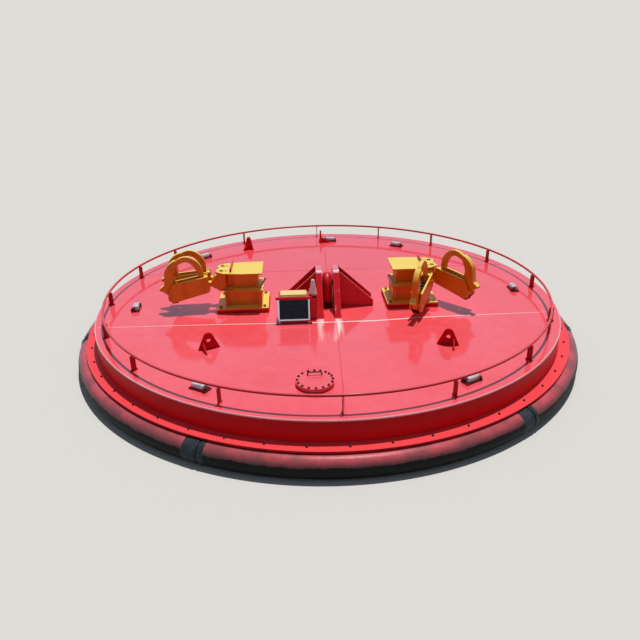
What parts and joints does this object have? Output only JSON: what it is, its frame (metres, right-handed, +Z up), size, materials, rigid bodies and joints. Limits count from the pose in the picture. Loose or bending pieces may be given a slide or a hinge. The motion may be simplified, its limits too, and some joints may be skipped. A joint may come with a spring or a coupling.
{
  "type": "steel mooring buoy",
  "caption": "Round flat-decked steel mooring buoy with a side fender, low rail, hook pedestals with quick release hooks, hawse bracket and solar lantern.",
  "frame": {"origin": "centre of the flat bottom", "axes": "+Z up through the deck; the solar panel faces -Y; the two hook pedestals lie on X"},
  "size_m": [8.2906, 8.2903, 2.7142],
  "materials": {
    "hull_paint": "gloss red marine paint",
    "deck_paint": "gloss red deck paint",
    "bracket_paint": "gloss red paint, worn at its edges",
    "rail_paint": "gloss dark red paint",
    "yellow_paint": "semi-gloss yellow paint",
    "fender_rubber": "moulded, with red overspray on its top",
    "wrap_rubber": "smooth",
    "anode_metal": "cast",
    "frame_aluminium": "anodised",
    "solar_cells": "glass-fronted cells",
    "cream_box": "smooth",
    "lantern_lens": "ribbed translucent lens",
    "light_lens": "clear over silver",
    "pin_steel": "greased",
    "lever_steel": "galvanised"
  },
  "bodies": {
    "buoy": {"hull_shell": "hull_paint", "deck_plate": "deck_paint", "hawse_pipe": "hull_paint", "upper_flange": "hull_paint", "lower_flange": "hull_paint", "fender_segments": "fender_rubber", "fender_end_wraps": "wrap_rubber", "hull_anodes": "anode_metal", "rail_ring": "rail_paint", "rail_posts": "rail_paint", "manhole_neck": "deck_paint", "manhole_cover": "deck_paint", "manhole_handle": "rail_paint", "bracket_cheek_left": "bracket_paint", "bracket_cheek_right": "bracket_paint", "bracket_gussets": "bracket_paint", "bracket_pin": "bracket_paint", "mooring_link": "bracket_paint", "lifting_lugs": "bracket_paint", "deck_light_bases": "rail_paint", "deck_light_lenses": "light_lens", "solar_frame": "frame_aluminium", "solar_panel": "solar_cells", "solar_stand": "bracket_paint", "battery_box": "cream_box", "lantern_bracket": "bracket_paint", "lantern_lens": "lantern_lens", "right_foundation": "hull_paint", "right_base_plate": "yellow_paint", "right_column": "yellow_paint", "right_shelf_plate": "yellow_paint", "right_top_plate": "yellow_paint", "right_housing": "yellow_paint", "right_swivel_pins": "pin_steel", "right_trip_bar": "rail_paint", "right_hand_lever": "lever_steel", "left_foundation": "hull_paint", "left_base_plate": "yellow_paint", "left_column": "yellow_paint", "left_shelf_plate": "yellow_paint", "left_top_plate": "yellow_paint", "left_housing": "yellow_paint", "left_swivel_pins": "pin_steel", "left_trip_bar": "rail_paint", "left_hand_lever": "lever_steel"},
    "right_rear_knuckle": {"right_rear_knuckle": "yellow_paint"},
    "right_rear_frame": {"right_rear_frame": "yellow_paint"},
    "right_rear_horn": {"right_rear_horn": "yellow_paint"},
    "right_front_knuckle": {"right_front_knuckle": "yellow_paint"},
    "right_front_frame": {"right_front_frame": "yellow_paint"},
    "right_front_horn": {"right_front_horn": "yellow_paint"},
    "left_front_knuckle": {"left_front_knuckle": "yellow_paint"},
    "left_front_frame": {"left_front_frame": "yellow_paint"},
    "left_front_horn": {"left_front_horn": "yellow_paint"},
    "left_rear_knuckle": {"left_rear_knuckle": "yellow_paint"},
    "left_rear_frame": {"left_rear_frame": "yellow_paint"},
    "left_rear_horn": {"left_rear_horn": "yellow_paint"}
  },
  "joints": [
    {"name": "right_rear_swivel", "type": "hinge", "parent": "buoy", "child": "right_rear_knuckle", "pos_m": [1.728, -0.125, 2.207], "axis": [0, 0, 1], "range_deg": [0, 138]},
    {"name": "right_rear_pitch", "type": "hinge", "parent": "right_rear_knuckle", "child": "right_rear_frame", "pos_m": [1.89062, -0.31881, 2.207], "axis": [-0.766, -0.6428, 0], "range_deg": [0, 35]},
    {"name": "right_rear_horn_release", "type": "hinge", "parent": "right_rear_frame", "child": "right_rear_horn", "pos_m": [2.24333, -0.73915, 2.05359], "axis": [0.766, 0.6428, 0], "range_deg": [0, 60]},
    {"name": "right_front_swivel", "type": "hinge", "parent": "buoy", "child": "right_front_knuckle", "pos_m": [1.728, -0.365, 2.207], "axis": [0, 0, 1], "range_deg": [0, 45]},
    {"name": "right_front_pitch", "type": "hinge", "parent": "right_front_knuckle", "child": "right_front_frame", "pos_m": [1.60922, -0.58839, 2.207], "axis": [-0.8829, 0.4695, 0], "range_deg": [0, 34]},
    {"name": "right_front_horn_release", "type": "hinge", "parent": "right_front_frame", "child": "right_front_horn", "pos_m": [1.36605, -1.04572, 1.96964], "axis": [0.8829, -0.4695, 0], "range_deg": [0, 60]},
    {"name": "left_front_swivel", "type": "hinge", "parent": "buoy", "child": "left_front_knuckle", "pos_m": [-1.728, -0.365, 2.207], "axis": [0, 0, 1], "range_deg": [0, 84]},
    {"name": "left_front_pitch", "type": "hinge", "parent": "left_front_knuckle", "child": "left_front_frame", "pos_m": [-1.98038, -0.38265, 2.207], "axis": [-0.0698, 0.9976, 0], "range_deg": [0, 38]},
    {"name": "left_front_horn_release", "type": "hinge", "parent": "left_front_frame", "child": "left_front_horn", "pos_m": [-2.519, -0.42031, 2.02508], "axis": [0.0698, -0.9976, 0], "range_deg": [0, 60]},
    {"name": "left_rear_swivel", "type": "hinge", "parent": "buoy", "child": "left_rear_knuckle", "pos_m": [-1.728, -0.125, 2.207], "axis": [0, 0, -1], "range_deg": [0, 92]},
    {"name": "left_rear_pitch", "type": "hinge", "parent": "left_rear_knuckle", "child": "left_rear_frame", "pos_m": [-1.98038, -0.14265, 2.207], "axis": [-0.0698, 0.9976, 0], "range_deg": [0, 32]},
    {"name": "left_rear_horn_release", "type": "hinge", "parent": "left_rear_frame", "child": "left_rear_horn", "pos_m": [-2.53502, -0.18143, 2.08252], "axis": [0.0698, -0.9976, 0], "range_deg": [0, 60]}
  ]
}
